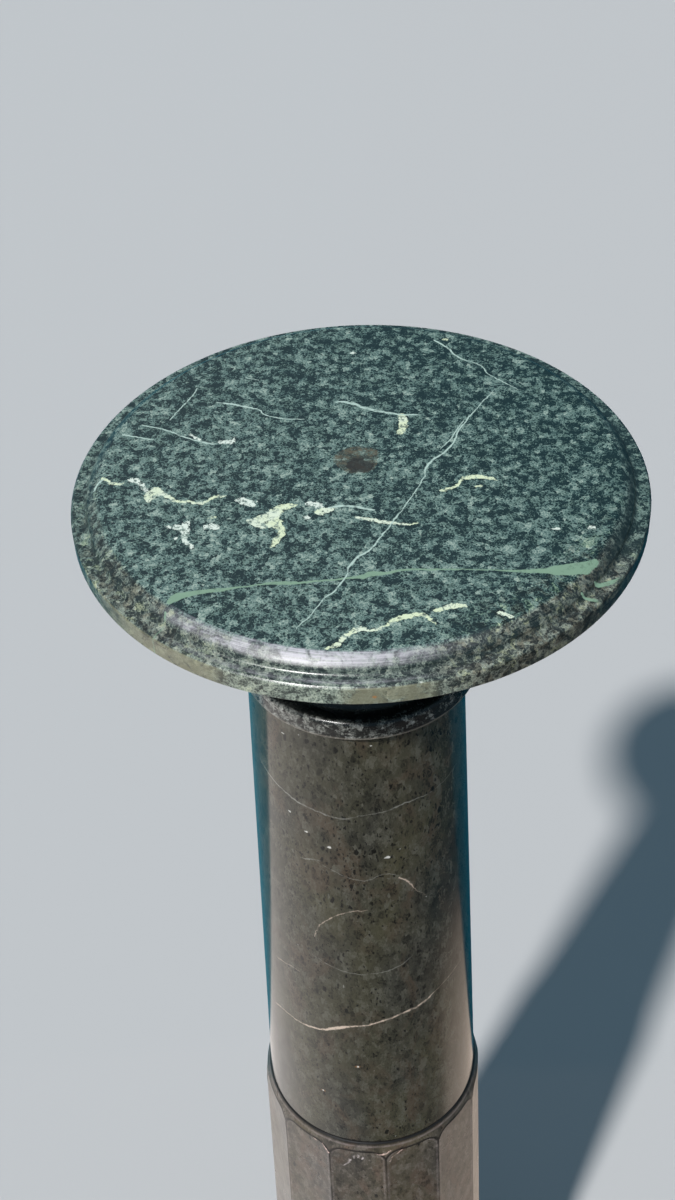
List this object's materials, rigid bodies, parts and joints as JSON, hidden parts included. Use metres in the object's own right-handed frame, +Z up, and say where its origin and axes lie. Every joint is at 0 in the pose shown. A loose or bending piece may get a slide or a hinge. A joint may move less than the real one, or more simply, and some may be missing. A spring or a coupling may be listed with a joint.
{
  "type": "pedestal column",
  "caption": "Polished serpentine marble pedestal column with a round moulded top, a tapering shaft over a faceted drum, a turned base and an octagonal plinth.",
  "frame": {"origin": "middle of the plinth's underside, on the floor", "axes": "+Z up along the column's axis, -Y towards the viewer of the picture, +X to that viewer's right"},
  "size_m": [0.312, 0.312, 1.1485],
  "materials": {
    "green_serpentine": "polished, mottled dark green with pale veins",
    "grey_serpentine": "polished, brownish grey green with dark specks and thin pale veins",
    "dark_serpentine": "polished, near black green with pale mottling"
  },
  "bodies": {
    "root": {"plinth": "green_serpentine", "base_moulding": "dark_serpentine", "lower_drum": "grey_serpentine", "upper_shaft": "grey_serpentine", "capital": "dark_serpentine", "top_slab": "green_serpentine"}
  },
  "joints": []
}
